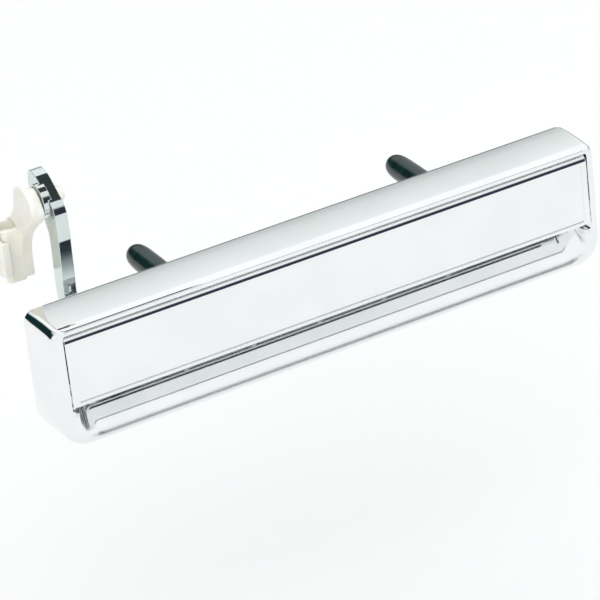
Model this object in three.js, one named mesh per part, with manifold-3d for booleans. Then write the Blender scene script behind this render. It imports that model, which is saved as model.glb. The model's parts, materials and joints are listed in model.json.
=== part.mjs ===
// Flush pull-flap door handle of a car, with its crank lever and rod clip.
// Millimetres. X runs along the handle, -Y faces the person who pulls it, +Y goes into the door, +Z is up.
// The origin is on the mounting plane, where the back rim meets the door skin.
import * as THREE from "three";
import { mergeVertices } from "three/addons/utils/BufferGeometryUtils.js";
import Module from "manifold-3d";

const wasm = await Module();
wasm.setup();

// ---- driving dimensions ----
const HALF_LENGTH = 94.5;
const FRONT = -19; // front plane of frame and flap
const TOP = 19.2;
const BOTTOM = -20.8;
const WALL = 1.9; // casting wall
const GAP = 0.3; // clearance between seated pieces

const FLAP = { halfLength: 90, top: 16.7, bottom: -7, thick: 2, topRadius: 2.4 };
const LIP_UNDERSIDE = 17.5; // frame lip over the flap
const RECESS = { lip: -18.2, head: -9.5, hollow: 0.6, halfLength: 88.5, dish: 7 };
const HINGE = { y: -15.2, z: 12.9, pin: 1.5, barrel: 3.0 };
const POCKET = { halfLength: 85.5, y: -9.8, ledgeY: -15.5 };

const SLOT = { x0: -80.4, x1: -69.2, z0: -0.9, z1: 17.1 }; // the arm works in it
const ARM = { x0: -78, x1: -74 };
const CLIP_PIVOT = { y: 11.5, z: 46.3, hole: 2.6 };
const ROD = { x: -84.6, y: 24.8, r: 3, z0: 18, z1: 35 };
const STUDS = { left: -42, right: 50 };
const STUD = { z: 8, r: 3.1, root: -3.8, end: 24, capBase: 4.5, capTip: 32.5 };
const LANDS = [
  [0, 0, 8.4],
  [STUDS.left, STUD.z, 9],
  [STUDS.right, STUD.z, 9],
];
const RIVETS = [4.9, 11.6]; // heights of the two arm rivets
const RIVET_Y = -10.4;
const SPRING = { x0: -68, x1: -57.6, mean: 2.3, wire: 0.4, turns: 6.5 };
const BUMPER = { x: 87.6, z: 1 };

// ---- finishes ----
const finish = (color, roughness, metalness) =>
  new THREE.MeshStandardMaterial({ color, roughness, metalness });
const chrome = finish(0xe4e8ea, 0.06, 1);
const steel = finish(0x9a9c9e, 0.35, 1);
const springSteel = finish(0x6d7074, 0.4, 1);
const ivoryNylon = finish(0xf3ecd6, 0.45, 0);
const blackVinyl = finish(0x10211f, 0.3, 0);
const blackRubber = finish(0x1a1a1a, 0.8, 0);
const whiteNylon = finish(0xe9e6dc, 0.5, 0);

// ---- solids ----
function solid(geometry) {
  const loose = geometry.index ? geometry.toNonIndexed() : geometry;
  const bare = new THREE.BufferGeometry();
  bare.setAttribute("position", loose.getAttribute("position"));
  const merged = mergeVertices(bare, 1e-4);
  const triVerts = new Uint32Array(merged.index.array);
  const vertProperties = merged.attributes.position.array;
  const body = new wasm.Manifold(new wasm.Mesh({ numProp: 3, vertProperties, triVerts }));
  if (body.volume() > 0) return body;
  // an outline or profile drawn the other way round: turn the faces out
  return new wasm.Manifold(
    new wasm.Mesh({ numProp: 3, vertProperties, triVerts: triVerts.reverse() }),
  );
}

const join = (...solids) => solids.reduce((a, b) => a.add(b));
const cut = (body, ...tools) => tools.reduce((a, b) => a.subtract(b), body);

// Outline through [u, v, radius] corners, each rounded over its radius.
function outline(corners) {
  const shape = new THREE.Shape();
  const points = corners.map(([u, v]) => new THREE.Vector2(u, v));
  const count = points.length;
  corners.forEach(([, , radius = 0], i) => {
    const here = points[i];
    const before = points[(i + count - 1) % count];
    const after = points[(i + 1) % count];
    const reach = Math.min(radius, here.distanceTo(before) * 0.49, here.distanceTo(after) * 0.49);
    const from = here.clone().add(before.clone().sub(here).setLength(reach));
    const to = here.clone().add(after.clone().sub(here).setLength(reach));
    if (i === 0) shape.moveTo(from.x, from.y);
    else shape.lineTo(from.x, from.y);
    if (reach > 0) shape.quadraticCurveTo(here.x, here.y, to.x, to.y);
  });
  shape.closePath();
  return shape;
}

function extruded(shape, depth, matrix, segments) {
  const options = { depth, bevelEnabled: false, curveSegments: segments };
  return new THREE.ExtrudeGeometry(shape, options).applyMatrix4(matrix);
}

const SIDE_VIEW = new THREE.Matrix4().set(0, 0, 1, 0, 1, 0, 0, 0, 0, 1, 0, 0, 0, 0, 0, 1);
const FRONT_VIEW = new THREE.Matrix4().set(1, 0, 0, 0, 0, 0, -1, 0, 0, 1, 0, 0, 0, 0, 0, 1);

// A (y, z) outline swept from x0 to x1.
function alongX(shape, x0, x1, segments = 6) {
  return solid(extruded(shape, x1 - x0, SIDE_VIEW, segments).translate(x0, 0, 0));
}

// An (x, z) outline swept from y0 to y1.
function alongY(shape, y0, y1, segments = 6) {
  return solid(extruded(shape, y1 - y0, FRONT_VIEW, segments).translate(0, y1, 0));
}

// An (x, y) outline swept from z0 to z1.
function alongZ(shape, z0, z1, segments = 6) {
  return solid(extruded(shape, z1 - z0, new THREE.Matrix4(), segments).translate(0, 0, z0));
}

function block(x0, x1, y0, y1, z0, z1) {
  const box = new THREE.BoxGeometry(x1 - x0, y1 - y0, z1 - z0);
  return solid(box.translate((x0 + x1) / 2, (y0 + y1) / 2, (z0 + z1) / 2));
}

// Round bar along X through (y, z), or along Y through (x, z).
function barX(r, x0, x1, y, z, sides = 24) {
  const bar = new THREE.CylinderGeometry(r, r, x1 - x0, sides);
  return solid(bar.rotateZ(-Math.PI / 2).translate((x0 + x1) / 2, y, z));
}

function barY(r, y0, y1, x, z, sides = 24) {
  const bar = new THREE.CylinderGeometry(r, r, y1 - y0, sides);
  return solid(bar.translate(x, (y0 + y1) / 2, z));
}

function barZ(r, z0, z1, x, y, sides = 24) {
  const bar = new THREE.CylinderGeometry(r, r, z1 - z0, sides);
  return solid(bar.rotateX(Math.PI / 2).translate(x, y, (z0 + z1) / 2));
}

// Turned piece along X: profile of [radius, x] pairs, closed on itself or on the axis.
function turnedX(profile, y, z, sides = 24) {
  const points = profile.map(([r, x]) => new THREE.Vector2(r, x));
  const lathe = new THREE.LatheGeometry(points, sides);
  return solid(lathe.rotateZ(-Math.PI / 2).translate(0, y, z));
}

function turnedY(profile, x, z, sides = 24) {
  const points = profile.map(([r, y]) => new THREE.Vector2(r, y));
  return solid(new THREE.LatheGeometry(points, sides).translate(x, 0, z));
}

// Closed skin over rings of equally many points; each ring runs anticlockwise seen from the first one.
function loft(rings) {
  const count = rings[0].length;
  const middle = (ring) =>
    ring.reduce((sum, p) => sum.add(p), new THREE.Vector3()).divideScalar(count);
  const vertices = rings.flat();
  const first = vertices.push(middle(rings[0])) - 1;
  const last = vertices.push(middle(rings[rings.length - 1])) - 1;
  const faces = [];
  for (let k = 0; k < count; k++) {
    const next = (k + 1) % count;
    for (let i = 0; i + 1 < rings.length; i++) {
      const [a, b] = [i * count + k, i * count + next];
      const [c, d] = [b + count, a + count];
      faces.push(a, d, c, a, c, b);
    }
    const end = (rings.length - 1) * count;
    faces.push(first, k, next, last, end + next, end + k);
  }
  const skin = new THREE.BufferGeometry().setFromPoints(vertices);
  skin.setIndex(faces);
  return solid(skin);
}

const product = new THREE.Group();

function add(name, body, material) {
  const { vertProperties, triVerts } = body.getMesh();
  const geometry = new THREE.BufferGeometry();
  geometry.setAttribute("position", new THREE.BufferAttribute(vertProperties, 3));
  geometry.setIndex(new THREE.BufferAttribute(triVerts, 1));
  geometry.computeVertexNormals();
  const mesh = new THREE.Mesh(geometry, material);
  mesh.name = name;
  product.add(mesh);
}

// ---- housing: chrome die casting with a flap rebate, a finger recess and a ribbed back ----
const EDGE = { end: 3.4, top: 0.5, bottom: 3.2, depth: 3.2 }; // elliptical front rounding
const CORNER = { top: 3.2, bottom: 8.5 };

// Outline of the casting at depth y; the top is crowned and the ends have a little draft.
function housingRing(y, round) {
  const draft = 0.8 * ((y - FRONT) / -FRONT);
  const crown = 0.4 * Math.sin((Math.PI * (y - FRONT)) / -FRONT);
  const x = HALF_LENGTH - 0.8 + draft - EDGE.end * round;
  const top = TOP + crown - EDGE.top * round;
  const bottom = BOTTOM + EDGE.bottom * round;
  const corners = [
    [x, bottom, CORNER.bottom, -Math.PI / 2],
    [x, top, CORNER.top, 0],
    [-x, top, CORNER.top, Math.PI / 2],
    [-x, bottom, CORNER.bottom, Math.PI],
  ];
  const steps = 10;
  const ring = [];
  for (const [cx, cz, size, start] of corners) {
    const r = size * (1 - 0.25 * round);
    const mx = cx - Math.sign(cx) * r;
    const mz = cz === top ? cz - r : cz + r;
    for (let k = 0; k <= steps; k++) {
      const t = start + ((Math.PI / 2) * k) / steps;
      ring.push(new THREE.Vector3(mx + r * Math.cos(t), y, mz + r * Math.sin(t)));
    }
  }
  return ring;
}

function housingSkin() {
  const rings = [];
  const steps = 8;
  for (let k = 0; k <= steps; k++) {
    const t = ((Math.PI / 2) * k) / steps;
    rings.push(housingRing(FRONT + EDGE.depth * (1 - Math.cos(t)), 1 - Math.sin(t)));
  }
  for (const share of [0.45, 0.7, 0.94]) {
    rings.push(housingRing(FRONT * (1 - share), 0));
  }
  const backEdge = 0.25; // small break of the back edge
  rings.push(housingRing(0, backEdge));
  return loft(rings);
}

// Finger recess: the lower rail leans back under the flap, slightly hollow, with dished ends.
function recessTool() {
  const mouth = FRONT - 1;
  const roof = -4;
  const foot = new THREE.Vector2(FRONT, RECESS.lip);
  const head = new THREE.Vector2(POCKET.y, RECESS.head);
  const chord = head.clone().sub(foot);
  const inward = new THREE.Vector2(chord.y, -chord.x).normalize();
  const side = [[mouth, roof], [mouth, RECESS.lip - 0.6]];
  const steps = 10;
  for (let k = 0; k <= steps; k++) {
    const t = k / steps;
    const p = foot.clone().addScaledVector(chord, t);
    p.addScaledVector(inward, 4 * RECESS.hollow * t * (1 - t));
    side.push([p.x, p.y]);
  }
  side.push([POCKET.y, roof]);
  const section = (x, share) =>
    side.map(([y, z]) => {
      const depth = mouth + (y - mouth) * share;
      const height = roof + (z - roof) * (0.62 + 0.38 * share);
      return new THREE.Vector3(x, depth, height);
    });
  const left = [];
  const dishSteps = 8;
  for (let k = 0; k <= dishSteps; k++) {
    const t = ((Math.PI / 2) * k) / dishSteps;
    const x = -RECESS.halfLength + RECESS.dish * (1 - Math.cos(t));
    left.push(section(x, Math.max(0.1, Math.sin(t))));
  }
  const right = left.map((ring) => ring.map((p) => new THREE.Vector3(-p.x, p.y, p.z))).reverse();
  return loft([...left, ...right].map((ring) => [...ring].reverse()));
}

// Hollow of one back bay, behind the pocket wall and over the bottom wall, up to height z1.
function backHollow(x0, x1, z1) {
  const floor = BOTTOM + WALL;
  const wall = POCKET.y + WALL;
  const side = [
    [1, floor],
    [FRONT + 5, floor, 1.5],
    [FRONT + 5, RECESS.lip + 1.3],
    [wall, RECESS.head - 1.6, 1.5],
    [wall, z1, 1],
    [1, z1],
  ];
  return alongX(outline(side), x0, x1, 4);
}

const WEBS = [-52.2, -31.8, -10, 10, 25, 40, 60, 75]; // middles of the back's cross webs
const WEB = 1.6;

function backHollows() {
  const top = LIP_UNDERSIDE - 0.2;
  const end = HALF_LENGTH - 6;
  const slotWall = 1.7;
  const edges = [SLOT.x1 + slotWall, ...WEBS.flatMap((x) => [x - WEB / 2, x + WEB / 2]), end];
  const hollows = [
    backHollow(-end, SLOT.x0 - slotWall, top),
    backHollow(SLOT.x0, SLOT.x1, SLOT.z0 - 2),
  ];
  for (let i = 0; i < edges.length; i += 2) {
    hollows.push(backHollow(edges[i], edges[i + 1], top));
  }
  return hollows;
}

function housing() {
  const rebate = [
    [-FLAP.halfLength - 0.4, FLAP.bottom - 1.5, 1.5],
    [FLAP.halfLength + 0.4, FLAP.bottom - 1.5, 1.5],
    [FLAP.halfLength + 0.4, LIP_UNDERSIDE, 1],
    [-FLAP.halfLength - 0.4, LIP_UNDERSIDE, 1],
  ];
  const pocket = [
    [POCKET.ledgeY - 1, RECESS.head],
    [POCKET.y, RECESS.head],
    [POCKET.y, LIP_UNDERSIDE, 1],
    [POCKET.ledgeY - 1, LIP_UNDERSIDE],
  ];
  const slot = [
    [SLOT.x0, SLOT.z0, 1],
    [SLOT.x1, SLOT.z0, 1],
    [SLOT.x1, SLOT.z1, 1],
    [SLOT.x0, SLOT.z1, 1],
  ];
  let body = cut(
    housingSkin(),
    alongY(outline(rebate), FRONT - 2, POCKET.ledgeY),
    recessTool(),
    alongX(outline(pocket), -POCKET.halfLength, POCKET.halfLength),
    ...backHollows(),
  );
  // round lands flush with the back plane: one at the middle and one round each stud
  for (const [x, z, r] of LANDS) body = join(body, barY(r, POCKET.y + 1, 0, x, z, 40));
  body = cut(body, alongY(outline(slot), POCKET.y - 1, 1));
  for (const side of [-1, 1]) {
    const inner = side * (POCKET.halfLength - 1);
    const outer = side * (POCKET.halfLength + 5);
    const [x0, x1] = [Math.min(inner, outer), Math.max(inner, outer)];
    body = cut(
      body,
      barX(HINGE.pin + GAP, x0, x1, HINGE.y, HINGE.z),
      block(x0, x1, POCKET.ledgeY - 0.5, -13.9, 15.9, LIP_UNDERSIDE),
      barY(2, POCKET.ledgeY - 1, -12.4, side * BUMPER.x, BUMPER.z, 16),
    );
  }
  for (const x of Object.values(STUDS)) {
    body = cut(body, barY(STUD.r + GAP, STUD.root - GAP, 1, x, STUD.z));
  }
  return body;
}
add("housing", housing(), chrome);

// ---- flap: shell with a raised border, finger bead, ribs, hinge knuckles and the lever lug ----
const RIB_X = [-46, -23, 0, 23, 46];
const KNUCKLES = [
  [-84.6, -79.9],
  [-56.6, -52.5],
  [71.2, 74.4],
  [79, 84.6],
];
const LUG = { x0: -73.7, x1: -71.2 };

function flapShell() {
  const r = FLAP.topRadius;
  const back = FRONT + FLAP.thick;
  const shape = new THREE.Shape();
  shape.moveTo(FRONT + 1, FLAP.bottom);
  shape.quadraticCurveTo(FRONT, FLAP.bottom, FRONT, FLAP.bottom + 1);
  shape.lineTo(FRONT, FLAP.top - r);
  shape.absarc(FRONT + r, FLAP.top - r, r, Math.PI, Math.PI / 2, true);
  shape.lineTo(FRONT + r, FLAP.top - 1.6);
  shape.lineTo(back, FLAP.top - r - 0.6);
  shape.lineTo(back, FLAP.bottom);
  shape.closePath();
  return alongX(shape, -FLAP.halfLength, FLAP.halfLength, 8);
}

function flap() {
  const back = FRONT + FLAP.thick;
  const fingerBead = [
    [back - 0.5, FLAP.bottom],
    [back + 1.1, FLAP.bottom, 1],
    [back + 1.1, FLAP.bottom + 2.4, 1],
    [back - 0.5, FLAP.bottom + 3.6],
  ];
  const rib = [
    [back - 0.5, FLAP.bottom + 1],
    [-14.4, FLAP.bottom + 1],
    [-15.4, 9, 1],
    [back - 0.5, 13],
  ];
  const lug = [
    [back - 0.5, 1.6],
    [-7.4, 1.6, 2],
    [-7.4, 14.4, 2],
    [-13, HINGE.z + HINGE.barrel, 2],
    [back - 0.5, HINGE.z + 2],
  ];
  const beadHalf = POCKET.halfLength - 0.9;
  let body = join(flapShell(), alongX(outline(fingerBead), -beadHalf, beadHalf));
  for (const x of RIB_X) body = join(body, alongX(outline(rib), x - 0.8, x + 0.8));
  for (const [x0, x1] of KNUCKLES) {
    body = join(body, barX(HINGE.barrel, x0, x1, HINGE.y, HINGE.z));
    body = join(body, block(x0, x1, FRONT + 1, HINGE.y, HINGE.z - 4, HINGE.z));
  }
  body = join(body, alongX(outline(lug), LUG.x0, LUG.x1));
  const field = [
    [-88.2, FLAP.bottom + 1.6, 1],
    [88.2, FLAP.bottom + 1.6, 1],
    [88.2, FLAP.top - 2.5, 1],
    [-88.2, FLAP.top - 2.5, 1],
  ];
  body = cut(
    body,
    alongY(outline(field), FRONT - 1, FRONT + 0.35),
    barX(SPRING.mean + SPRING.wire + 0.35, -70.6, -56.6, HINGE.y, HINGE.z),
    barX(3.1, -52.5, -50, HINGE.y, HINGE.z),
    barX(3.1, 68.5, 71.2, HINGE.y, HINGE.z),
    block(-91, -85.1, back, 0, FLAP.top - 4, FLAP.top + 1),
    block(85.1, 91, back, 0, FLAP.top - 4, FLAP.top + 1),
    barX(HINGE.pin + GAP, -86, -50, HINGE.y, HINGE.z),
    barX(HINGE.pin + GAP, 69, 86, HINGE.y, HINGE.z),
    barX(2.45, -85.6, -81.6, HINGE.y, HINGE.z),
    barX(2.45, 81.6, 85.6, HINGE.y, HINGE.z),
  );
  for (const z of RIVETS) body = cut(body, barX(1.7, -75, -70, RIVET_Y, z, 16));
  return body;
}
add("flap", flap(), chrome);

// ---- hinge: two short pins, each with a nylon bush and a snap ring ----
function snapRing(x) {
  const ring = turnedX(
    [
      [HINGE.pin - 0.25, x - 0.35],
      [HINGE.pin + 1.3, x - 0.35],
      [HINGE.pin + 1.3, x + 0.35],
      [HINGE.pin - 0.25, x + 0.35],
      [HINGE.pin - 0.25, x - 0.35],
    ],
    HINGE.y,
    HINGE.z,
  );
  return cut(ring, block(x - 1, x + 1, HINGE.y, HINGE.y + 5, HINGE.z - 0.9, HINGE.z + 0.9));
}

function groovedPin(x0, x1, ringX) {
  const groove = cut(
    barX(HINGE.pin + 1, ringX - 0.6, ringX + 0.6, HINGE.y, HINGE.z),
    barX(HINGE.pin - 0.5, ringX - 1, ringX + 1, HINGE.y, HINGE.z),
  );
  return cut(barX(HINGE.pin, x0, x1, HINGE.y, HINGE.z), groove);
}

function bush(side) {
  const profile = [
    [HINGE.pin + 0.1, side * 81.9],
    [2.2, side * 81.9],
    [2.2, side * 84.5],
    [2.2, side * 85.2],
    [HINGE.pin + 0.1, side * 85.2],
    [HINGE.pin + 0.1, side * 81.9],
  ];
  return turnedX(side > 0 ? profile : profile.reverse(), HINGE.y, HINGE.z);
}

const LEFT_RING = -51.6;
const RIGHT_RING = 70;
add("hinge_pin_left", groovedPin(-90, -50.6, LEFT_RING), steel);
add("hinge_pin_right", groovedPin(69, 90, RIGHT_RING), steel);
add("snap_ring_left", snapRing(LEFT_RING), springSteel);
add("snap_ring_right", snapRing(RIGHT_RING), springSteel);
add("hinge_bush_left", bush(-1), whiteNylon);
add("hinge_bush_right", bush(1), whiteNylon);

// ---- return spring: coil round the left pin, one leg on the pocket wall and one on the flap ----
function springRoute() {
  const points = [
    new THREE.Vector3(SPRING.x0, -10.7, 4.6),
    new THREE.Vector3(SPRING.x0, -11.6, 8),
    new THREE.Vector3(SPRING.x0, -12.8, 11),
  ];
  const perTurn = 14;
  const steps = SPRING.turns * perTurn;
  for (let k = 0; k <= steps; k++) {
    const angle = (2 * Math.PI * k) / perTurn;
    const x = SPRING.x0 + ((SPRING.x1 - SPRING.x0) * k) / steps;
    const y = HINGE.y + SPRING.mean * Math.cos(angle);
    const z = HINGE.z + SPRING.mean * Math.sin(angle);
    points.push(new THREE.Vector3(x, y, z));
  }
  points.push(
    new THREE.Vector3(SPRING.x1, -17.05, 11.4),
    new THREE.Vector3(SPRING.x1, -16.2, 9.4),
    new THREE.Vector3(SPRING.x1, -16.2, 3.4),
  );
  return new THREE.CatmullRomCurve3(points);
}

function spring() {
  const section = new THREE.Shape().absarc(0, 0, SPRING.wire, 0, 2 * Math.PI);
  const steps = Math.round(SPRING.turns * 14 + 10);
  const options = { extrudePath: springRoute(), steps, curveSegments: 3, bevelEnabled: false };
  return solid(new THREE.ExtrudeGeometry(section, options));
}
add("flap_spring", spring(), springSteel);

// ---- rubber bumpers that the closed flap rests on ----
for (const [name, side] of [["bumper_left", -1], ["bumper_right", 1]]) {
  const profile = [
    [0, -12.8],
    [1.6, -12.8],
    [1.6, -15.8],
    [2.3, -15.8],
    [2.3, -16.3],
    [1.7, -16.7],
    [0, -16.7],
  ];
  add(name, turnedY(profile, side * BUMPER.x, BUMPER.z, 16), blackRubber);
}

// ---- lever arm: plate crank that leaves through the slot, rises behind the handle and hooks back ----
function leverArm() {
  const side = [
    [-13.1, 2.2, 1.2],
    [-7.6, 2.2, 1.2],
    [-7.6, 8.8, 1.5],
    [6.8, 8.8, 4.5],
    [10.4, 14.5, 4],
    [9.9, 26, 8],
    [9.2, 38, 5],
    [20.4, 46.9, 3],
    [18.8, 54.3, 4],
    [13.4, 53.4, 3],
    [3.2, 45.8, 3],
    [3.0, 38, 8],
    [4.4, 19.5, 8],
    [4.6, 16.3, 2],
    [-13.1, 16.3, 2],
  ];
  let body = alongX(outline(side), ARM.x0, ARM.x1);
  body = join(body, barX(5.4, ARM.x0 - 1.6, ARM.x0 + 1, CLIP_PIVOT.y, CLIP_PIVOT.z, 32));
  body = cut(body, barX(CLIP_PIVOT.hole, -85, -70, CLIP_PIVOT.y, CLIP_PIVOT.z));
  for (const z of RIVETS) body = cut(body, barX(1.7, -85, -70, RIVET_Y, z, 16));
  return body;
}
add("lever_arm", leverArm(), chrome);

const RIVET_NAMES = ["arm_rivet_lower", "arm_rivet_upper"];
RIVETS.forEach((z, i) => {
  const [left, right] = [ARM.x0 - GAP, LUG.x1 + GAP];
  const profile = [
    [0, left - 1.1],
    [1.4, left - 1],
    [2.5, left - 0.4],
    [2.6, left],
    [1.45, left],
    [1.45, right],
    [2.6, right],
    [2.5, right + 0.4],
    [1.4, right + 1],
    [0, right + 1.1],
  ];
  add(RIVET_NAMES[i], turnedX(profile, RIVET_Y, z, 16), steel);
});

// ---- rod clip: moulded nylon, snapped into the arm, with a rod channel and a hinged gate ----
const CLIP = { x0: -83.2, x1: -79.95 };
const GATE = { pivotX: -89.1, pivotY: 31.1, z0: 21, z1: 32 };

function rodClip() {
  const web = [
    [4.6, 43.5, 4],
    [10.5, 51.8, 5],
    [17.8, 48.6, 5],
    [23.6, 38, 6],
    [29.4, 34.8, 2],
    [29.4, ROD.z0, 2],
    [20.2, ROD.z0, 2],
    [19.6, 30.5, 5],
    [12.6, 38.2, 5],
  ];
  const channel = [
    [CLIP.x0 + 0.5, 20.2, 0.5],
    [-88.2, 20.2, 1.6],
    [-88.2, 29.4, 1.6],
    [CLIP.x0 + 0.5, 29.4, 0.5],
  ];
  const { y, z, hole } = CLIP_PIVOT;
  const stem = turnedX(
    [
      [0, CLIP.x0 + 1],
      [hole - GAP, CLIP.x0 + 1],
      [hole - GAP, ARM.x1 + GAP],
      [hole + 0.7, ARM.x1 + GAP],
      [hole + 0.5, ARM.x1 + GAP + 1],
      [hole - 1, ARM.x1 + GAP + 2.6],
      [0, ARM.x1 + GAP + 2.8],
    ],
    y,
    z,
  );
  let body = join(
    alongX(outline(web), CLIP.x0, CLIP.x1, 8),
    barX(6.1, CLIP.x0 - 1.1, CLIP.x0 + 0.5, y, z, 32),
    alongZ(outline(channel), ROD.z0, ROD.z1),
    stem,
  );
  const ear = [
    [-86, 28.5],
    [-88, 28.5],
    [-88, 29.4],
    [-89.9, 30.2],
    [-89.9, GATE.pivotY],
    [-86, GATE.pivotY, 1.5],
  ];
  for (const [z0, z1] of [[ROD.z0 + 1, GATE.z0 + 2.7], [GATE.z1 - 2.7, ROD.z1 - 1]]) {
    body = join(body, barZ(1.2, z0, z1, GATE.pivotX, GATE.pivotY, 16));
    body = join(body, alongZ(outline(ear), z0, z1));
  }
  return cut(
    body,
    barZ(ROD.r, ROD.z0 - 1, ROD.z1 + 1, ROD.x, ROD.y),
    block(-95, ROD.x, ROD.y - 2.25, ROD.y + 2.25, ROD.z0 - 1, ROD.z1 + 1),
    block(-77.2, ARM.x1 + 4, y - 0.5, y + 0.5, z - 5, z + 5),
  );
}
add("rod_clip", rodClip(), ivoryNylon);

function gate() {
  const { pivotX, pivotY, z0, z1 } = GATE;
  const plate = [
    [-90.2, pivotY, 0],
    [-88.55, pivotY, 0],
    [-88.55, 20.6, 0.5],
    [-88.3, 19.9, 0],
    [-87.2, 19.85, 0],
    [-87.2, 18.9, 0.4],
    [-90.2, 18.9, 1.2],
  ];
  return join(
    cut(
      alongZ(outline(plate), z0, z1),
      block(-92, -86, 29, 33, z0 - 1, z0 + 3),
      block(-92, -86, 29, 33, z1 - 3, z1 + 1),
    ),
    barZ(1.2, z0 + 3, z1 - 3, pivotX, pivotY, 16),
  );
}
add("rod_clip_gate", gate(), ivoryNylon);

// ---- mounting studs cast into the back, with vinyl thread caps ----
for (const [side, x] of Object.entries(STUDS)) {
  const { z, r, root, end, capBase, capTip } = STUD;
  add("stud_" + side, turnedY([[0, root], [r, root], [r, end - 0.8], [r - 0.8, end], [0, end]], x, z), steel);
  const cap = [
    [r + GAP, capBase],
    [4.3, capBase],
    [4.3, capBase + 1.4],
    [4.05, capBase + 1.8],
    [3.9, 22],
    [3.5, 27.5],
    [2.9, 30.2],
    [1.7, 31.9],
    [0, capTip],
    [0, end + GAP],
    [r + GAP, end + GAP],
    [r + GAP, capBase],
  ];
  add("stud_cap_" + side, turnedY(cap, x, z), blackVinyl);
}

export default product;
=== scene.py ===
"""Flush pull-flap door handle: the looks of each piece. Metres, +Z up, -Y out of the door."""
import json
import math

import bmesh
import bpy
from mathutils import Matrix, Vector


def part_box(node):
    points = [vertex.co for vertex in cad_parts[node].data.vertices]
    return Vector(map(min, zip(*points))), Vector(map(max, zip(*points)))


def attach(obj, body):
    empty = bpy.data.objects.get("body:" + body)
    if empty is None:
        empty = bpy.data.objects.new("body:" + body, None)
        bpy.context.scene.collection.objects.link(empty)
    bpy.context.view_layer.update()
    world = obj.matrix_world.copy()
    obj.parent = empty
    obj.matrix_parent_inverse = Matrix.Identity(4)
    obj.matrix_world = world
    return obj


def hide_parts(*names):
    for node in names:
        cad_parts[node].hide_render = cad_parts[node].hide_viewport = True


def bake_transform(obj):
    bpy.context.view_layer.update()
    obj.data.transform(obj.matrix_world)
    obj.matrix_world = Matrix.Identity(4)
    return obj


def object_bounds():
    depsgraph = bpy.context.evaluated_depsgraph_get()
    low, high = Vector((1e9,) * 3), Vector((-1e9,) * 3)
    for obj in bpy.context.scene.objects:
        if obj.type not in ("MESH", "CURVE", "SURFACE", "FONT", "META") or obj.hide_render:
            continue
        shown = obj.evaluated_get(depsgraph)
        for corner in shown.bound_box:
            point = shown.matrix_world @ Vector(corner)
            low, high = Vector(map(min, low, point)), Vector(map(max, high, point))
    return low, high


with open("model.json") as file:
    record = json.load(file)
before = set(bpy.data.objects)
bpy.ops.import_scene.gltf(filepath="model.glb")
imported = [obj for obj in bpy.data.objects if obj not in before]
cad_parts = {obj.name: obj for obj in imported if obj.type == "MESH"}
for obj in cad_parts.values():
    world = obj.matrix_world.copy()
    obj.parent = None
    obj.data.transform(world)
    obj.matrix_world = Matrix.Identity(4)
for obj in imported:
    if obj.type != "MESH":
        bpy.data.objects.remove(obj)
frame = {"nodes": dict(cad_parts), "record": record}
cad_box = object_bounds()

# ---- Camera ----
# A long lens on a stand, a metre and a quarter from the handle, to its left and above it.
# It looks down at the flap, with its level turned a little.
MM = 0.001
AZIMUTH = math.radians(26.04)
ELEVATION = math.radians(28.17)
LEVEL = math.radians(6.67)
AIM = Vector((-11.28, -16.14, 0.83)) * MM
VIEW_DISTANCE = 1.237
SENSOR = 36.0
FOCAL_SHARE = 6.869  # focal length over the sensor's width
FARTHEST = 20  # nothing beyond it is drawn

forward = Vector((
    math.sin(AZIMUTH) * math.cos(ELEVATION),
    math.cos(AZIMUTH) * math.cos(ELEVATION),
    -math.sin(ELEVATION),
))
level_right = Vector((math.cos(AZIMUTH), -math.sin(AZIMUTH), 0))
level_up = level_right.cross(forward)
right = math.cos(LEVEL) * level_right - math.sin(LEVEL) * level_up
up = math.sin(LEVEL) * level_right + math.cos(LEVEL) * level_up

scene = bpy.context.scene
camera_data = bpy.data.cameras.new("camera")
camera_data.sensor_width = SENSOR
camera_data.lens = SENSOR * FOCAL_SHARE
camera_data.clip_end = FARTHEST
camera = bpy.data.objects.new("camera", camera_data)
scene.collection.objects.link(camera)
camera.matrix_world = Matrix((right, up, -forward)).transposed().to_4x4()
camera.matrix_world.translation = AIM - VIEW_DISTANCE * forward
scene.camera = camera
scene.view_settings.view_transform = "Standard"

# ---- White table and studio ----
# A wide white table under two soft lamps, in a pale room with a dark horizon.
# The horizon draws the dark lines along the plated edges, and the lamps stay out of the plating.
TABLE_DROP = 0.09  # below the handle
TABLE_HALF = 3.0
TABLE_WHITE = (0.93, 0.93, 0.93, 1)
TABLE_ROUGHNESS = 0.9
SQUARE = ((-1, -1), (1, -1), (1, 1), (-1, 1))  # corners of a flat sheet, in half widths

table_z = cad_box[0][2] - TABLE_DROP
table_data = bpy.data.meshes.new("table")
table_corners = [(x * TABLE_HALF, y * TABLE_HALF, table_z) for x, y in SQUARE]
table_data.from_pydata(table_corners, [], [(0, 1, 2, 3)])
table = bpy.data.objects.new("table", table_data)
scene.collection.objects.link(table)
table_top = bpy.data.materials.new("table_white")
table_top.use_nodes = True
table_paint = table_top.node_tree.nodes["Principled BSDF"]
table_paint.inputs["Base Color"].default_value = TABLE_WHITE
table_paint.inputs["Roughness"].default_value = TABLE_ROUGHNESS
table_data.materials.append(table_top)

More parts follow.
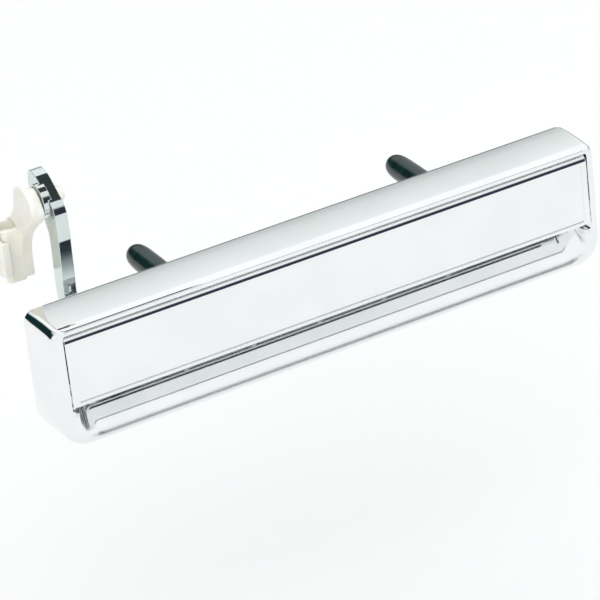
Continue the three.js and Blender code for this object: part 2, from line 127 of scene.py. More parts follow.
# height of a direction, from 0 straight down to 1 straight up, and the room's brightness there:
# behind the handle, and in front of it
BEHIND = (
    (0.000, (1.00, 1.00, 1.00)),
    (0.480, (0.98, 0.98, 0.99)),
    (0.505, (0.006, 0.020, 0.022)),
    (0.600, (0.012, 0.034, 0.034)),
    (0.650, (0.52, 0.56, 0.555)),
    (0.700, (0.78, 0.815, 0.81)),
    (0.745, (0.89, 0.925, 0.92)),
    (0.800, (1.12, 1.12, 1.13)),
)
IN_FRONT = (
    (0.000, (1.00, 1.00, 1.00)),
    (0.480, (0.98, 0.98, 0.99)),
    (0.505, (0.030, 0.026, 0.060)),
    (0.765, (0.045, 0.050, 0.070)),
    (0.815, (0.60, 0.63, 0.64)),
    (0.845, (1.04, 1.04, 1.05)),
)
DARK_BEHIND = 0.55  # a height within the dark horizon
LEFT_RISE = 0.22  # the dark horizon reaches this much higher at the left of the room
LEFT_TURN = (-0.28, -0.05)  # between these directions X
RIGHT_FALL = 0.12  # and stands this much lower at its right
RIGHT_TURN = (0.44, 0.58)
FRONT_TURN = (0.12, -0.12)  # directions Y between which the room behind goes over to the room in front
FRONT_SPAN = (0.02, 0.18, 0.52, 0.68)  # directions X between which the front's dark horizon comes and goes
FRONT_LIFT = 0.4  # heights are read this much higher beside it, where the room is white
BACKDROP = (1, 1, 1, 1)  # seen straight on, past the table's far edge
MIRRORINGS = 14  # the plating mirrors itself over and over inside the frame
LIGHT_STEPS = 16  # most bounces of any kind
room = bpy.data.worlds.new("studio_room")
scene.world = room
room.use_nodes = True
walls = room.node_tree
walls.nodes.clear()


def room_range(value, start, end, low, high):
    """The value spread from low to high as it goes from start to end."""
    node = walls.nodes.new("ShaderNodeMapRange")
    node.inputs["From Min"].default_value = start
    node.inputs["From Max"].default_value = end
    node.inputs["To Min"].default_value = low
    node.inputs["To Max"].default_value = high
    walls.links.new(value, node.inputs["Value"])
    return node.outputs["Result"]


def room_maths(operation, a, b):
    """Two values, or a value and a number, put together by that operation."""
    node = walls.nodes.new("ShaderNodeMath")
    node.operation = operation
    for socket, value in zip(node.inputs, (a, b)):
        if isinstance(value, float):
            socket.default_value = value
        else:
            walls.links.new(value, socket)
    return node.outputs["Value"]


def room_bands(at, bands):
    """The room's brightness at that height."""
    node = walls.nodes.new("ShaderNodeValToRGB")
    while len(node.color_ramp.elements) < len(bands):
        node.color_ramp.elements.new(1.0)
    for element, (place, brightness) in zip(node.color_ramp.elements, bands):
        element.position = place
        element.color = (*brightness, 1)
    walls.links.new(at, node.inputs["Fac"])
    return node.outputs["Color"]


direction = walls.nodes.new("ShaderNodeTexCoord")
parts = walls.nodes.new("ShaderNodeSeparateXYZ")
walls.links.new(direction.outputs["Generated"], parts.inputs["Vector"])
height = room_range(parts.outputs["Z"], -1.0, 1.0, 0.0, 1.0)
above = room_maths("GREATER_THAN", parts.outputs["Z"], 0.0)
rise = room_range(parts.outputs["X"], *LEFT_TURN, LEFT_RISE, 0.0)
fall = room_range(parts.outputs["X"], *RIGHT_TURN, 0.0, RIGHT_FALL)
shifted = room_maths("SUBTRACT", room_maths("ADD", height, fall), rise)
behind = room_maths("MAXIMUM", shifted, room_maths("MULTIPLY", above, DARK_BEHIND))
beside = room_maths(
    "ADD",
    room_range(parts.outputs["X"], *FRONT_SPAN[:2], 1.0, 0.0),
    room_range(parts.outputs["X"], *FRONT_SPAN[2:], 0.0, 1.0),
)
in_front = room_maths("ADD", height, room_maths("MULTIPLY", beside, FRONT_LIFT))
to_front = room_range(parts.outputs["Y"], *FRONT_TURN, 0.0, 1.0)
mixed = walls.nodes.new("ShaderNodeMix")
mixed.data_type = "RGBA"
walls.links.new(to_front, mixed.inputs["Factor"])
walls.links.new(room_bands(behind, BEHIND), mixed.inputs["A"])
walls.links.new(room_bands(in_front, IN_FRONT), mixed.inputs["B"])
glow = walls.nodes.new("ShaderNodeBackground")
room_out = walls.nodes.new("ShaderNodeOutputWorld")
ray = walls.nodes.new("ShaderNodeLightPath")
backdrop = walls.nodes.new("ShaderNodeMix")
backdrop.data_type = "RGBA"
backdrop.inputs["B"].default_value = BACKDROP
walls.links.new(ray.outputs["Is Camera Ray"], backdrop.inputs["Factor"])
walls.links.new(mixed.outputs["Result"], backdrop.inputs["A"])
walls.links.new(backdrop.outputs["Result"], glow.inputs["Color"])
walls.links.new(glow.outputs["Background"], room_out.inputs["Surface"])

scene.cycles.max_bounces = LIGHT_STEPS
scene.cycles.glossy_bounces = MIRRORINGS


def soft_lamp(name, place, size, power):
    """A square soft lamp turned to the handle; the plating doesn't mirror it."""
    lamp = bpy.data.lights.new(name, "AREA")
    lamp.size = size
    lamp.energy = power
    stand = bpy.data.objects.new(name, lamp)
    scene.collection.objects.link(stand)
    stand.location = place
    stand.rotation_euler = (AIM - Vector(place)).to_track_quat("-Z", "Y").to_euler()
    stand.visible_glossy = False


soft_lamp("overhead_lamp", (-0.1, -0.1, 1.7), 2.4, 10)
soft_lamp("front_lamp", (-0.7, -1.8, 1.1), 1.5, 3)

# a black card over the lever, out of the picture, that only the plating shows
card_data = bpy.data.meshes.new("black_card")
CARD_MIDDLE = Vector((-32, 14, 150)) * MM
CARD_HALF = (40 * MM, 32 * MM)
CARD_BLACK = (0.01, 0.02, 0.02, 1)
card_corners = [CARD_MIDDLE + Vector((x * CARD_HALF[0], y * CARD_HALF[1], 0)) for x, y in SQUARE]
card_data.from_pydata(card_corners, [], [(0, 1, 2, 3)])
card = bpy.data.objects.new("black_card", card_data)
scene.collection.objects.link(card)
card.visible_camera = False
card.visible_diffuse = False
card.visible_shadow = False
card_paper = bpy.data.materials.new("black_card")
card_paper.use_nodes = True
card_paper.node_tree.nodes["Principled BSDF"].inputs["Base Color"].default_value = CARD_BLACK
card_data.materials.append(card_paper)

# ---- Housing ----
# The frame that bolts to the door: one zinc die casting, with a crowned top, soft front edges,
# a leaning finger recess and a webbed back. Copper, nickel and bright chromium are plated on it.
CHROME_PALE = (0.885, 0.890, 0.895)
CHROME_COOL = (0.835, 0.865, 0.860)
SHARP = math.radians(34)  # corners turned more than this keep a crease
FLAT = math.radians(0.6)  # and faces turned less are one
SAME_POINT = 0.002 * MM
POLISHED_EDGE = 0.3 * MM
MOUTH_EDGE = 3.4 * MM  # the recess's mouth is polished rounder than the other edges
MOUTH_TOP = 12.0 * MM  # above the bottom
MOUTH_DEPTH = 2.4 * MM  # behind the face
RIPPLE = 0.01 * MM  # depth of the casting's ripple under the plating
HOLLOWS_FROM = -9.6 * MM  # the back's hollows start this far in front of the mounting plane
WALL = 1.8 * MM  # thinnest outer wall round them


def new_finish(name, colour, roughness, metallic=0.0):
    """A node material, with the parts that each finish builds on."""
    material = bpy.data.materials.new(name)
    material.use_nodes = True
    nodes, links = material.node_tree.nodes, material.node_tree.links
    shader = nodes["Principled BSDF"]
    shader.inputs["Base Color"].default_value = (*colour, 1)
    shader.inputs["Roughness"].default_value = roughness
    shader.inputs["Metallic"].default_value = metallic
    where = nodes.new("ShaderNodeTexCoord")
    return material, nodes, links, shader, where


def mottle(nodes, links, where, per_metre, detail=3.0, stretch=(1, 1, 1)):
    """Soft noise laid on the piece, with about that many patches to the metre."""
    lay = nodes.new("ShaderNodeMapping")
    lay.inputs["Scale"].default_value = stretch
    links.new(where.outputs["Object"], lay.inputs["Vector"])
    noise = nodes.new("ShaderNodeTexNoise")
    noise.inputs["Scale"].default_value = per_metre
    noise.inputs["Detail"].default_value = detail
    links.new(lay.outputs["Vector"], noise.inputs["Vector"])
    return noise.outputs["Fac"]


def colours_over(nodes, links, value, *stops):
    """Colours spread over a value from 0 to 1; each stop is (place, colour)."""
    node = nodes.new("ShaderNodeValToRGB")
    while len(node.color_ramp.elements) < len(stops):
        node.color_ramp.elements.new(1.0)
    for element, (place, colour) in zip(node.color_ramp.elements, stops):
        element.position = place
        element.color = (*colour, 1)
    links.new(value, node.inputs["Fac"])
    return node.outputs["Color"]


def range_over(nodes, links, value, low, high):
    """A value from 0 to 1, spread from low to high."""
    node = nodes.new("ShaderNodeMapRange")
    node.inputs["To Min"].default_value = low
    node.inputs["To Max"].default_value = high
    links.new(value, node.inputs["Value"])
    return node.outputs["Result"]


def relief(nodes, links, shader, value, depth, under=None):
    """Surface relief of that depth, over the normal under it."""
    bump = nodes.new("ShaderNodeBump")
    bump.inputs["Strength"].default_value = 1.0
    bump.inputs["Distance"].default_value = depth
    links.new(value, bump.inputs["Height"])
    if under is not None:
        links.new(under, bump.inputs["Normal"])
    links.new(bump.outputs["Normal"], shader.inputs["Normal"])


def bright_plating(name, cool, pale, mouth=None):
    """Mirror plating: faint casting ripple below it, and fine wiping marks along the handle.

    Its edges are polished round, most of all within the mouth's box: middle and half size (y, z)."""
    material, nodes, links, shader, where = new_finish(name, pale, 0.04, 1.0)
    ripple = mottle(nodes, links, where, 60, 2.0)
    wiping = mottle(nodes, links, where, 1100, 4.0, (0.06, 1, 1))
    tint = colours_over(nodes, links, ripple, (0.32, cool), (0.68, pale))
    links.new(tint, shader.inputs["Base Color"])
    links.new(range_over(nodes, links, wiping, 0.02, 0.07), shader.inputs["Roughness"])
    edge = nodes.new("ShaderNodeBevel")
    edge.samples = 8
    edge.inputs["Radius"].default_value = POLISHED_EDGE
    if mouth:
        place = nodes.new("ShaderNodeSeparateXYZ")
        links.new(where.outputs["Object"], place.inputs["Vector"])
        both = nodes.new("ShaderNodeMath")
        both.operation = "MULTIPLY"
        for axis, middle, half, factor in zip("YZ", *mouth, both.inputs):
            within = nodes.new("ShaderNodeMath")
            within.operation = "COMPARE"
            within.inputs[1].default_value = middle
            within.inputs[2].default_value = half
            links.new(place.outputs[axis], within.inputs[0])
            links.new(within.outputs["Value"], factor)
        radius = range_over(nodes, links, both.outputs["Value"], POLISHED_EDGE, MOUTH_EDGE)
        links.new(radius, edge.inputs["Radius"])
    relief(nodes, links, shader, ripple, RIPPLE, edge.outputs["Normal"])
    return material


def bare_metal(name, dark, light, roughness):
    """Metal as worked or cast: clouded zinc or oil black, with fine marks."""
    material, nodes, links, shader, where = new_finish(name, light, roughness, 1.0)
    clouding = mottle(nodes, links, where, 700, 4.0)
    links.new(colours_over(nodes, links, clouding, (0.3, dark), (0.72, light)), shader.inputs["Base Color"])
    dulled = range_over(nodes, links, clouding, roughness - 0.1, roughness + 0.14)
    links.new(dulled, shader.inputs["Roughness"])
    turning = mottle(nodes, links, where, 2500, 2.0, (1, 0.12, 0.12))
    relief(nodes, links, shader, turning, RIPPLE)
    return material


CHROME = bright_plating("chrome_plating", CHROME_COOL, CHROME_PALE)


def settle(piece):
    """Makes the piece's modifiers part of its mesh."""
    graph = bpy.context.evaluated_depsgraph_get()
    made = bpy.data.meshes.new_from_object(piece.evaluated_get(graph))
    piece.modifiers.clear()
    piece.data = made
    return piece


def finished(node, material, edge=0.0, segments=2):
    """The CAD node's own shape, merged and smooth, with its edges rounded over `edge`."""
    mesh = frame["nodes"][node].data.copy()
    mesh.materials.clear()
    mesh.materials.append(material)
    piece = bpy.data.objects.new(node + "_finished", mesh)
    scene.collection.objects.link(piece)
    work = bmesh.new()
    work.from_mesh(mesh)
    bmesh.ops.remove_doubles(work, verts=work.verts, dist=SAME_POINT)
    bmesh.ops.dissolve_limit(work, angle_limit=FLAT, verts=work.verts, edges=work.edges)
    work.to_mesh(mesh)
    work.free()
    if edge:
        bevel = piece.modifiers.new("rounded_edges", "BEVEL")
        bevel.width = edge
        bevel.segments = segments
        bevel.limit_method = "ANGLE"
        bevel.angle_limit = SHARP
        bevel.use_clamp_overlap = True
        bevel.miter_outer = "MITER_ARC"
        settle(piece)
    piece.data.shade_smooth()
    piece.data.set_sharp_from_angle(angle=SHARP)
    weigh = piece.modifiers.new("flats_first", "WEIGHTED_NORMAL")
    weigh.keep_sharp = True
    weigh.weight = 100
    return settle(piece)


def seat(piece, body, slot, *nodes):
    """The piece moves with its body and stands for those CAD nodes, which it hides; the slot is not used.
    """
    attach(piece, body)
    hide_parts(*nodes)
    return piece


housing_low, housing_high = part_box("housing")
mouth_middle = (housing_low[1], housing_low[2] + MOUTH_TOP / 2)
mouth_half = (MOUTH_DEPTH, MOUTH_TOP / 2)
FRAME_CHROME = bright_plating("frame_chrome", CHROME_COOL, CHROME_PALE, (mouth_middle, mouth_half))
CAST_PLATING = bare_metal("cast_plating", (0.42, 0.43, 0.43), (0.62, 0.63, 0.63), 0.32)
housing = finished("housing", FRAME_CHROME)
# the hollows in the back stay as cast under a thin, cloudy plating
housing.data.materials.append(CAST_PLATING)
for face in housing.data.polygons:
    x, y, z = face.center
    inward = min(housing_high[0] - abs(x), housing_high[2] - z, z - housing_low[2])
    if inward > WALL and y > HOLLOWS_FROM:
        face.material_index = 1
seat(housing, "handle_frame", "chrome", "housing")

# ---- Flap ----
# The pull flap: a zinc casting, plated like the frame, with a raised border round a flat field, a bead
# along its lower edge for the fingertips, and hinge knuckles behind its top edge.
FLAP_EDGE = 0.22 * MM
flap = finished("flap", CHROME, FLAP_EDGE, 3)
seat(flap, "flap", "chrome", "flap")

# ---- Hinge pins and snap rings ----
# Two short pins on which the flap turns, of turned and zinc-plated steel, laid in the frame's saddles.
# Open rings, stamped from oiled spring steel, snap into their grooves and hold them endways.
PIN_EDGE = 0.2 * MM
RING_EDGE = 0.08 * MM
ZINC_STEEL = bare_metal("zinc_plated_steel", (0.44, 0.44, 0.42), (0.68, 0.69, 0.71), 0.34)
SPRING_STEEL = bare_metal("oiled_spring_steel", (0.15, 0.155, 0.165), (0.38, 0.39, 0.41), 0.36)

for hand in ("left", "right"):
    pin = finished("hinge_pin_" + hand, ZINC_STEEL, PIN_EDGE)
    seat(pin, "handle_frame", "steel", "hinge_pin_" + hand)
    ring = finished("snap_ring_" + hand, SPRING_STEEL, RING_EDGE)
    seat(ring, "handle_frame", "spring_steel", "snap_ring_" + hand)

# ---- Hinge bushes ----
# Flanged tubes of white nylon, injection moulded and pressed into the flap's end knuckles.
# They keep the plated casting from wearing on the steel pins.
BUSH_EDGE = 0.1 * MM
NYLON_GRAIN = 0.015 * MM
NYLON_DEPTH = 1.6 * MM  # how far light goes into it


def moulded_nylon(name, shade, pale):
    """Natural nylon: waxy, faintly clouded, and a little see-through where it is thin."""
    material, nodes, links, shader, where = new_finish(name, pale, 0.42)
    clouding = mottle(nodes, links, where, 140, 3.0)
    grain = mottle(nodes, links, where, 2600, 3.0)
    links.new(colours_over(nodes, links, clouding, (0.28, shade), (0.7, pale)), shader.inputs["Base Color"])
    links.new(range_over(nodes, links, grain, 0.34, 0.52), shader.inputs["Roughness"])
    shader.inputs["Subsurface Weight"].default_value = 0.3
    shader.inputs["Subsurface Radius"].default_value = (1.0, 0.8, 0.5)
    shader.inputs["Subsurface Scale"].default_value = NYLON_DEPTH
    relief(nodes, links, shader, grain, NYLON_GRAIN)
    return material


WHITE_NYLON = moulded_nylon("white_nylon", (0.80, 0.79, 0.75), (0.90, 0.89, 0.86))
for hand in ("left", "right"):
    bush = finished("hinge_bush_" + hand, WHITE_NYLON, BUSH_EDGE)
    seat(bush, "flap", "white_nylon", "hinge_bush_" + hand)

# ---- Return spring ----
# Hard-drawn wire coiled round the left pin. One leg lies on the pocket wall and stays with the frame,
# the other lies behind the flap and winds the coil up as the flap opens.
WIRE = 0.4 * MM  # radius
COIL = 2.3 * MM  # mean radius
TURNS = 6.5
STEPS_PER_TURN = 24
WIRE_SIDES = 12
# each leg's points, back from the hinge line and up from it
FRAME_LEG = ((4.5 * MM, -8.3 * MM), (3.6 * MM, -4.9 * MM), (2.7 * MM, -2.2 * MM))
FLAP_LEG = ((-1.85 * MM, -1.5 * MM), (-1.0 * MM, -3.5 * MM), (-1.0 * MM, -9.1 * MM))
spring_low, spring_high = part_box("flap_spring")
coil_x = (spring_low[0] + WIRE, spring_high[0] - WIRE)


def named_tree(name, **sizes):
    """A Geometry Nodes tree with named inputs of the same kinds as those sizes, and the inputs' sockets."""
    tree = bpy.data.node_groups.new(name, "GeometryNodeTree")
    tree.interface.new_socket("Geometry", in_out="INPUT", socket_type="NodeSocketGeometry")
    tree.interface.new_socket("Geometry", in_out="OUTPUT", socket_type="NodeSocketGeometry")
    kinds = {
        int: "NodeSocketInt",
        float: "NodeSocketFloat",
        Vector: "NodeSocketVector",
        bpy.types.Material: "NodeSocketMaterial",
    }
    for label, value in sizes.items():
        tree.interface.new_socket(label, in_out="INPUT", socket_type=kinds[type(value)])
    return tree, tree.nodes.new("NodeGroupInput").outputs


def end_tree(tree, geometry, material):
    """Closes a tree: real geometry, with its material."""
    real = tree.nodes.new("GeometryNodeRealizeInstances")
    paint = tree.nodes.new("GeometryNodeSetMaterial")
    out = tree.nodes.new("NodeGroupOutput")
    tree.links.new(geometry, real.inputs["Geometry"])
    tree.links.new(real.outputs["Geometry"], paint.inputs["Geometry"])
    tree.links.new(material, paint.inputs["Material"])
    tree.links.new(paint.outputs["Geometry"], out.inputs[0])


def grown(name, tree, start=None, **sizes):
    """A plain mesh piece that the tree makes from the start mesh with those sizes."""
    piece = bpy.data.objects.new(name, start or bpy.data.meshes.new(name))
    scene.collection.objects.link(piece)
    grow = piece.modifiers.new("grow", "NODES")
    grow.node_group = tree
    sockets = {s.name: s.identifier for s in tree.interface.items_tree if s.in_out == "INPUT"}
    for label, value in sizes.items():
        grow[sockets[label]] = value
    settle(piece)
    work = bmesh.new()
    work.from_mesh(piece.data)
    bmesh.ops.remove_doubles(work, verts=work.verts, dist=SAME_POINT / 2)
    bmesh.ops.recalc_face_normals(work, faces=work.faces)
    work.to_mesh(piece.data)
    work.free()
    piece.data.shade_smooth()
    piece.data.set_sharp_from_angle(angle=SHARP)
    return piece


def wire_tree():
    """Round wire swept along the start mesh's line of edges, with closed ends."""
    tree, sizes = named_tree("wire_along_route", Wire_radius=WIRE, Wire_sides=WIRE_SIDES, Finish=CHROME)
    route = tree.nodes.new("GeometryNodeMeshToCurve")
    section = tree.nodes.new("GeometryNodeCurvePrimitiveCircle")
    sweep = tree.nodes.new("GeometryNodeCurveToMesh")
    sweep.inputs["Fill Caps"].default_value = True
    tree.links.new(sizes["Geometry"], route.inputs["Mesh"])
    tree.links.new(sizes["Wire_radius"], section.inputs["Radius"])
    tree.links.new(sizes["Wire_sides"], section.inputs["Resolution"])
    tree.links.new(route.outputs["Curve"], sweep.inputs["Curve"])
    tree.links.new(section.outputs["Curve"], sweep.inputs["Profile Curve"])
    end_tree(tree, sweep.outputs["Mesh"], sizes["Finish"])
    return tree


flap_hinge = next(j for j in frame["record"]["behaviour"]["joints"] if j["name"] == "flap_hinge")
_, hinge_y, hinge_z = flap_hinge["pos_m"]


def spring_route():
    """Points of the wire's centre line: frame leg, coil, flap leg."""
    points = [(coil_x[0], hinge_y + y, hinge_z + z) for y, z in FRAME_LEG]
    steps = round(TURNS * STEPS_PER_TURN)
    for k in range(steps + 1):
        angle = 2 * math.pi * k / STEPS_PER_TURN
        along = coil_x[0] + (coil_x[1] - coil_x[0]) * k / steps
        points.append((along, hinge_y + COIL * math.cos(angle), hinge_z + COIL * math.sin(angle)))
    points += [(coil_x[1], hinge_y + y, hinge_z + z) for y, z in FLAP_LEG]
    return points


centre_line = bpy.data.meshes.new("spring_centre_line")
route_points = spring_route()
centre_line.from_pydata(route_points, [(i, i + 1) for i in range(len(route_points) - 1)], [])
spring = grown(
    "return_spring",
    wire_tree(),
    centre_line,
    Wire_radius=WIRE,
    Wire_sides=WIRE_SIDES,
    Finish=SPRING_STEEL,
)
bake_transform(spring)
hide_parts("flap_spring")

# ---- Bumpers ----
# Buttons of moulded black rubber, pushed into the ledges at the pocket's ends.
# The closed flap rests on them, so that it doesn't rattle.
BUMPER_EDGE = 0.15 * MM
SKIN_RELIEF = 0.04 * MM


def soft_black(name, dark, worn, roughness):
    """Black vinyl or rubber: a slightly uneven skin that greys where it has been handled."""
    material, nodes, links, shader, where = new_finish(name, dark, roughness)
    skin = mottle(nodes, links, where, 420, 4.0)
    links.new(colours_over(nodes, links, skin, (0.3, dark), (0.75, worn)), shader.inputs["Base Color"])
    links.new(range_over(nodes, links, skin, roughness - 0.08, roughness + 0.1), shader.inputs["Roughness"])
    relief(nodes, links, shader, skin, SKIN_RELIEF)
    return material


BLACK_RUBBER = soft_black("black_rubber", (0.012, 0.012, 0.012), (0.03, 0.03, 0.03), 0.7)
for hand in ("left", "right"):
    bumper = finished("bumper_" + hand, BLACK_RUBBER, BUMPER_EDGE)
    seat(bumper, "handle_frame", "black_rubber", "bumper_" + hand)

# ---- Lever arm ----
# A crank cut from thick steel plate, whose long edges are tumbled round before it is plated.
# It leaves the frame through a slot, rises behind it and hooks back to the rod clip.
ARM_EDGE = 0.7 * MM
# painted shade: the arm's plating is tinted darker and greener than the frame's chrome, standing in for the
# grey-green shade that the room lays on the arm
ARM_PLATING_PAINTED_SHADE = bright_plating("arm_plating_painted_shade", (0.60, 0.68, 0.665), (0.70, 0.77, 0.76))
arm = finished("lever_arm", ARM_PLATING_PAINTED_SHADE, ARM_EDGE, 4)
arm.visible_glossy = False  # kept out of the plating's reflections, as the lamps are
seat(arm, "flap", "chrome", "lever_arm")

# ---- Arm rivets ----
# Two rivets of zinc-plated steel through the arm and the flap's lug, closed with a button head on
# each side, so that the arm swings with the flap.
rivet_low, rivet_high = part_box("arm_rivet_lower")
upper_low, upper_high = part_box("arm_rivet_upper")
HEAD_HEIGHT = 1.1 * MM
HEAD_RADIUS = (rivet_high[2] - rivet_low[2]) / 2
SHANK_RADIUS = 1.45 * MM
RIVET_SIDES = 32


def rivet_tree():
    """One riveted pin along X: a shank and two button heads, each half a squashed ball."""
    tree, sizes = named_tree(
        "riveted_pin",
        Length=1.0,
        Shank_radius=1.0,
        Head_radius=1.0,
        Head_height=1.0,
        Centre=Vector(),
        Finish=CHROME,
    )
    middle = tree.nodes.new("ShaderNodeMath")
    middle.operation = "MULTIPLY"
    middle.inputs[1].default_value = 0.5
    tree.links.new(sizes["Length"], middle.inputs[0])
    shank = tree.nodes.new("GeometryNodeMeshCylinder")
    shank.inputs["Vertices"].default_value = RIVET_SIDES
    tree.links.new(sizes["Shank_radius"], shank.inputs["Radius"])
    grip = tree.nodes.new("ShaderNodeMath")
    grip.operation = "SUBTRACT"
    tree.links.new(sizes["Length"], grip.inputs[0])
    tree.links.new(sizes["Head_height"], grip.inputs[1])
    tree.links.new(grip.outputs["Value"], shank.inputs["Depth"])
    ball = tree.nodes.new("GeometryNodeMeshUVSphere")
    ball.inputs["Segments"].default_value = RIVET_SIDES
    ball.inputs["Rings"].default_value = RIVET_SIDES // 2
    ball.inputs["Radius"].default_value = 1.0
    squash = tree.nodes.new("ShaderNodeCombineXYZ")
    tree.links.new(sizes["Head_radius"], squash.inputs["X"])
    tree.links.new(sizes["Head_radius"], squash.inputs["Y"])
    tree.links.new(sizes["Head_height"], squash.inputs["Z"])
    button = tree.nodes.new("GeometryNodeTransform")
    tree.links.new(ball.outputs["Mesh"], button.inputs["Geometry"])
    tree.links.new(squash.outputs["Vector"], button.inputs["Scale"])
    ends = tree.nodes.new("GeometryNodeMeshLine")
    ends.mode = "END_POINTS"
    ends.inputs["Count"].default_value = 2
    reach = tree.nodes.new("ShaderNodeMath")
    reach.operation = "SUBTRACT"
    tree.links.new(middle.outputs["Value"], reach.inputs[0])
    tree.links.new(sizes["Head_height"], reach.inputs[1])
    low_end = tree.nodes.new("ShaderNodeCombineXYZ")
    high_end = tree.nodes.new("ShaderNodeCombineXYZ")
    back = tree.nodes.new("ShaderNodeMath")
    back.operation = "MULTIPLY"
    back.inputs[1].default_value = -1.0
    tree.links.new(reach.outputs["Value"], back.inputs[0])
    tree.links.new(back.outputs["Value"], low_end.inputs["Z"])
    tree.links.new(reach.outputs["Value"], high_end.inputs["Z"])
    tree.links.new(low_end.outputs["Vector"], ends.inputs["Start Location"])
    tree.links.new(high_end.outputs["Vector"], ends.inputs["Offset"])
    heads = tree.nodes.new("GeometryNodeInstanceOnPoints")
    tree.links.new(ends.outputs["Mesh"], heads.inputs["Points"])
    tree.links.new(button.outputs["Geometry"], heads.inputs["Instance"])
    whole = tree.nodes.new("GeometryNodeJoinGeometry")
    tree.links.new(shank.outputs["Mesh"], whole.inputs["Geometry"])
    tree.links.new(heads.outputs["Instances"], whole.inputs["Geometry"])
    lay = tree.nodes.new("GeometryNodeTransform")
    lay.inputs["Rotation"].default_value = (0, math.pi / 2, 0)
    tree.links.new(whole.outputs["Geometry"], lay.inputs["Geometry"])
    tree.links.new(sizes["Centre"], lay.inputs["Translation"])
    end_tree(tree, lay.outputs["Geometry"], sizes["Finish"])
    return tree


RIVETED_PIN = rivet_tree()
for node, (low, high) in (
    ("arm_rivet_lower", (rivet_low, rivet_high)),
    ("arm_rivet_upper", (upper_low, upper_high)),
):
    rivet = grown(
        node + "_finished",
        RIVETED_PIN,
        Length=high[0] - low[0],
        Shank_radius=SHANK_RADIUS,
        Head_radius=HEAD_RADIUS,
        Head_height=HEAD_HEIGHT,
        Centre=[(a + b) / 2 for a, b in zip(low, high)],
        Finish=ZINC_STEEL,
    )
    seat(rivet, "flap", "steel", node)

# ---- Rod clip and its gate ----
# The clip that joins the latch rod to the arm, and the gate that folds over the rod: ivory nylon,
# injection moulded. The clip turns on a split stem snapped through the arm's hole.
CLIP_EDGE = 0.4 * MM
GATE_EDGE = 0.3 * MM
IVORY = moulded_nylon("ivory_nylon", (0.93, 0.905, 0.80), (0.985, 0.975, 0.91))
clip = finished("rod_clip", IVORY, CLIP_EDGE, 3)
seat(clip, "rod_clip", "ivory_nylon", "rod_clip")
clip_gate = finished("rod_clip_gate", IVORY, GATE_EDGE, 3)
seat(clip_gate, "rod_clip_gate", "ivory_nylon", "rod_clip_gate")

# ---- Studs ----
# The two studs that hold the handle on the door: zinc-plated steel, with a rolled thread.
# Their heads are cast into the back of the frame, and the door's nuts draw it up.
STUD_CORE = 2.72 * MM
THREAD_PITCH = 1.27 * MM
PLAIN_ENDS = 1.0 * MM  # of the length, at both ends together
CORE_SIDES = 48
TURN_STEPS = 36
RIDGE_SIDES = 4


def stud_tree():
    """A plain core with a closed thread ridge wound on it, built along Z and laid along the axis."""
    tree, sizes = named_tree(
        "rolled_thread_stud",
        Core_radius=1.0,
        Ridge_height=1.0,
        Length=1.0,
        Turns=1.0,
        Root=Vector(),
        Finish=CHROME,
    )
    core = tree.nodes.new("GeometryNodeMeshCylinder")
    core.inputs["Vertices"].default_value = CORE_SIDES
    tree.links.new(sizes["Core_radius"], core.inputs["Radius"])
    tree.links.new(sizes["Length"], core.inputs["Depth"])
    helix = tree.nodes.new("GeometryNodeCurveSpiral")
    helix.inputs["Resolution"].default_value = TURN_STEPS
    tree.links.new(sizes["Turns"], helix.inputs["Rotations"])
    tree.links.new(sizes["Core_radius"], helix.inputs["Start Radius"])
    tree.links.new(sizes["Core_radius"], helix.inputs["End Radius"])
    tree.links.new(sizes["Length"], helix.inputs["Height"])
    ridge = tree.nodes.new("GeometryNodeCurvePrimitiveCircle")
    ridge.inputs["Resolution"].default_value = RIDGE_SIDES
    tree.links.new(sizes["Ridge_height"], ridge.inputs["Radius"])
    wound = tree.nodes.new("GeometryNodeCurveToMesh")
    wound.inputs["Fill Caps"].default_value = True
    tree.links.new(helix.outputs["Curve"], wound.inputs["Curve"])
    tree.links.new(ridge.outputs["Curve"], wound.inputs["Profile Curve"])
    half = tree.nodes.new("ShaderNodeMath")
    half.operation = "MULTIPLY"
    half.inputs[1].default_value = -0.5
    drop = tree.nodes.new("ShaderNodeCombineXYZ")
    centred = tree.nodes.new("GeometryNodeTransform")
    tree.links.new(sizes["Length"], half.inputs[0])
    tree.links.new(half.outputs["Value"], drop.inputs["Z"])
    tree.links.new(wound.outputs["Mesh"], centred.inputs["Geometry"])
    tree.links.new(drop.outputs["Vector"], centred.inputs["Translation"])
    whole = tree.nodes.new("GeometryNodeJoinGeometry")
    tree.links.new(core.outputs["Mesh"], whole.inputs["Geometry"])
    tree.links.new(centred.outputs["Geometry"], whole.inputs["Geometry"])
    lay = tree.nodes.new("GeometryNodeTransform")
    lay.inputs["Rotation"].default_value = (-math.pi / 2, 0, 0)
    tree.links.new(whole.outputs["Geometry"], lay.inputs["Geometry"])
    tree.links.new(sizes["Root"], lay.inputs["Translation"])
    end_tree(tree, lay.outputs["Geometry"], sizes["Finish"])
    return tree


THREADED_STUD = stud_tree()
for hand in ("left", "right"):
    low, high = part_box("stud_" + hand)
    threaded = high[1] - low[1] - PLAIN_ENDS
    stud = grown(
        "stud_" + hand + "_finished",
        THREADED_STUD,
        Core_radius=STUD_CORE,
        Ridge_height=(high[0] - low[0]) / 2 - STUD_CORE,
        Length=threaded,
        Turns=threaded / THREAD_PITCH,
        Root=[(a + b) / 2 for a, b in zip(low, high)],
        Finish=ZINC_STEEL,
    )
    seat(stud, "handle_frame", "steel", "stud_" + hand)

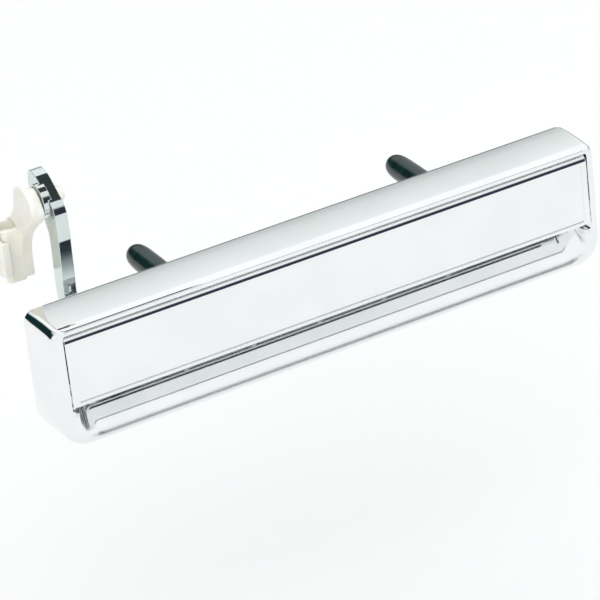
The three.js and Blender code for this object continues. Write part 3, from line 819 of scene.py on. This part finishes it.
# ---- Thread caps ----
# Bullet-tipped caps of black vinyl, dip moulded with a rolled rim and pushed over the studs.
# They keep the threads clean until the handle is fitted.
BLACK_VINYL = soft_black("black_vinyl", (0.003, 0.014, 0.014), (0.010, 0.036, 0.036), 0.22)
CAP_PROFILE = (  # share of the length from the rim, and of the largest radius
    (0.0, 0.97),
    (0.045, 1.0),
    (0.065, 0.95),
    (0.30, 0.94),
    (0.62, 0.93),
    (0.84, 0.89),
    (0.93, 0.78),
    (0.98, 0.52),
    (1.0, 0.0),
)
CAP_RINGS = 96
CAP_SIDES = 64


def cap_tree():
    """A cap turned on a straight line: the float curve gives its radius from rim to tip."""
    tree, sizes = named_tree(
        "thread_cap",
        Rim=Vector(),
        Tip=Vector(),
        Largest_radius=1.0,
        Rings=CAP_RINGS,
        Sides=CAP_SIDES,
        Finish=CHROME,
    )
    axis = tree.nodes.new("GeometryNodeCurvePrimitiveLine")
    rings = tree.nodes.new("GeometryNodeResampleCurve")
    tree.links.new(sizes["Rim"], axis.inputs["Start"])
    tree.links.new(sizes["Tip"], axis.inputs["End"])
    tree.links.new(axis.outputs["Curve"], rings.inputs["Curve"])
    tree.links.new(sizes["Rings"], rings.inputs["Count"])
    place = tree.nodes.new("GeometryNodeSplineParameter")
    profile = tree.nodes.new("ShaderNodeFloatCurve")
    curve = profile.mapping.curves[0]
    for at, radius in CAP_PROFILE[1:-1]:
        curve.points.new(at, radius)
    curve.points[0].location = CAP_PROFILE[0]
    curve.points[len(curve.points) - 1].location = CAP_PROFILE[-1]
    profile.mapping.update()
    swell = tree.nodes.new("ShaderNodeMath")
    swell.operation = "MULTIPLY"
    tree.links.new(place.outputs["Factor"], profile.inputs["Value"])
    tree.links.new(profile.outputs["Value"], swell.inputs[0])
    tree.links.new(sizes["Largest_radius"], swell.inputs[1])
    section = tree.nodes.new("GeometryNodeCurvePrimitiveCircle")
    section.inputs["Radius"].default_value = 1.0
    tree.links.new(sizes["Sides"], section.inputs["Resolution"])
    skin = tree.nodes.new("GeometryNodeCurveToMesh")
    skin.inputs["Fill Caps"].default_value = True
    tree.links.new(rings.outputs["Curve"], skin.inputs["Curve"])
    tree.links.new(section.outputs["Curve"], skin.inputs["Profile Curve"])
    tree.links.new(swell.outputs["Value"], skin.inputs["Scale"])
    end_tree(tree, skin.outputs["Mesh"], sizes["Finish"])
    return tree


THREAD_CAP = cap_tree()
for hand in ("left", "right"):
    low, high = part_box("stud_cap_" + hand)
    x, z = (low[0] + high[0]) / 2, (low[2] + high[2]) / 2
    cap = grown(
        "stud_cap_" + hand + "_finished",
        THREAD_CAP,
        Rim=[x, low[1], z],
        Tip=[x, high[1], z],
        Largest_radius=(high[0] - low[0]) / 2,
        Rings=CAP_RINGS,
        Sides=CAP_SIDES,
        Finish=BLACK_VINYL,
    )
    seat(cap, "handle_frame", "black_vinyl", "stud_cap_" + hand)
